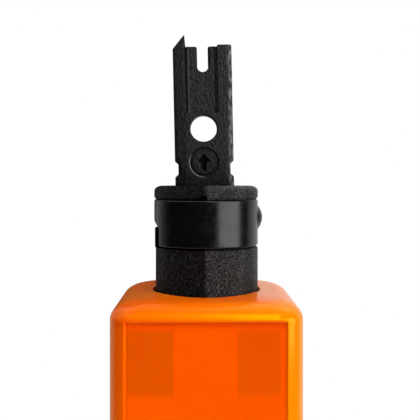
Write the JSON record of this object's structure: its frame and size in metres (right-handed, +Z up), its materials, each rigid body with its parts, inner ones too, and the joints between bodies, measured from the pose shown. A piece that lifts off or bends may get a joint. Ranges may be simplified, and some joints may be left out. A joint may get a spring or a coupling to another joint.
{
  "type": "punch down tool",
  "caption": "Sprung impact hand tool that seats and trims wires in terminal blocks, with a boxy handle, round plunger nose and reversible slotted blade.",
  "frame": {"origin": "centre of the tail end of the handle, on the surface it stands on", "axes": "+Z up the tool towards the blade's tip, -Y the front with the recessed panel, +X the side with the force dial"},
  "size_m": [0.0294, 0.0274, 0.1641],
  "materials": {
    "orange_plastic": "glossy moulded orange plastic",
    "cast_nose": "matt black, slightly grainy casting",
    "band_gloss_black": "smooth glossy black spring steel",
    "black_oxide_steel": "black oxide steel, satin",
    "spring_steel": "plain spring steel",
    "bright_steel": "turned bright steel",
    "black_rubber": "matt black rubber",
    "black_plastic": "satin black moulded plastic"
  },
  "bodies": {
    "housing": {"front_shell": "orange_plastic", "rear_shell": "orange_plastic", "shell_screw_1": "spring_steel", "shell_screw_2": "spring_steel", "shell_screw_3": "spring_steel", "shell_screw_4": "spring_steel", "door_hinge_pin": "spring_steel", "spare_blade": "black_oxide_steel", "bumper_ring": "black_rubber", "sear_cam_insert": "spring_steel"},
    "door": {"storage_door": "orange_plastic"},
    "dial": {"force_dial": "black_plastic", "dial_cam": "bright_steel", "dial_retaining_clip": "spring_steel"},
    "seat": {"spring_seat": "bright_steel", "impact_spring": "spring_steel"},
    "striker": {"hammer": "bright_steel", "spring_thrust_washer": "spring_steel", "sear_spring": "spring_steel", "rod_return_spring": "spring_steel"},
    "sear": {"sear_plate": "bright_steel"},
    "nose": {"nose_body": "cast_nose", "nose_snap_ring": "spring_steel", "lock_band": "band_gloss_black", "detent_ball_left": "bright_steel", "detent_ball_right": "bright_steel", "anvil_rod": "bright_steel", "anvil_pin": "spring_steel"},
    "cutter": {"blade": "black_oxide_steel"}
  },
  "joints": [
    {"name": "nose_slide", "type": "slide", "parent": "housing", "child": "nose", "axis": [0, 0, -1], "range_m": [0, 0.0065], "stiffness_N_per_m": 2500, "springref_m": -0.02},
    {"name": "striker_slide", "type": "slide", "parent": "housing", "child": "striker", "axis": [0, 0, -1], "range_m": [0, 0.0065], "deforming": ["impact_spring"]},
    {"name": "sear_shift", "type": "slide", "parent": "striker", "child": "sear", "axis": [-1, 0, 0], "range_m": [0, 0.00195], "deforming": ["sear_spring"]},
    {"name": "blade_twist", "type": "hinge", "parent": "nose", "child": "cutter", "pos_m": [0, 0, 0.134], "axis": [0, 0, 1], "range_deg": [0, 90]},
    {"name": "dial_turn", "type": "hinge", "parent": "housing", "child": "dial", "pos_m": [0.0137, 0, 0.0105], "axis": [1, 0, 0], "range_deg": [0, 120]},
    {"name": "seat_lift", "type": "slide", "parent": "housing", "child": "seat", "axis": [0, 0, 1], "range_m": [0, 0.002]},
    {"name": "door_swing", "type": "hinge", "parent": "housing", "child": "door", "pos_m": [0, 0.012, 0.062], "axis": [1, 0, 0], "range_deg": [0, 90]}
  ],
  "couplings": [
    {"joint": "striker_slide", "follows": "nose_slide", "ratio": 1},
    {"joint": "sear_shift", "follows": "nose_slide", "ratio": 0.3},
    {"joint": "dial_turn", "follows": "seat_lift", "rad_per_m": 1047.2}
  ]
}
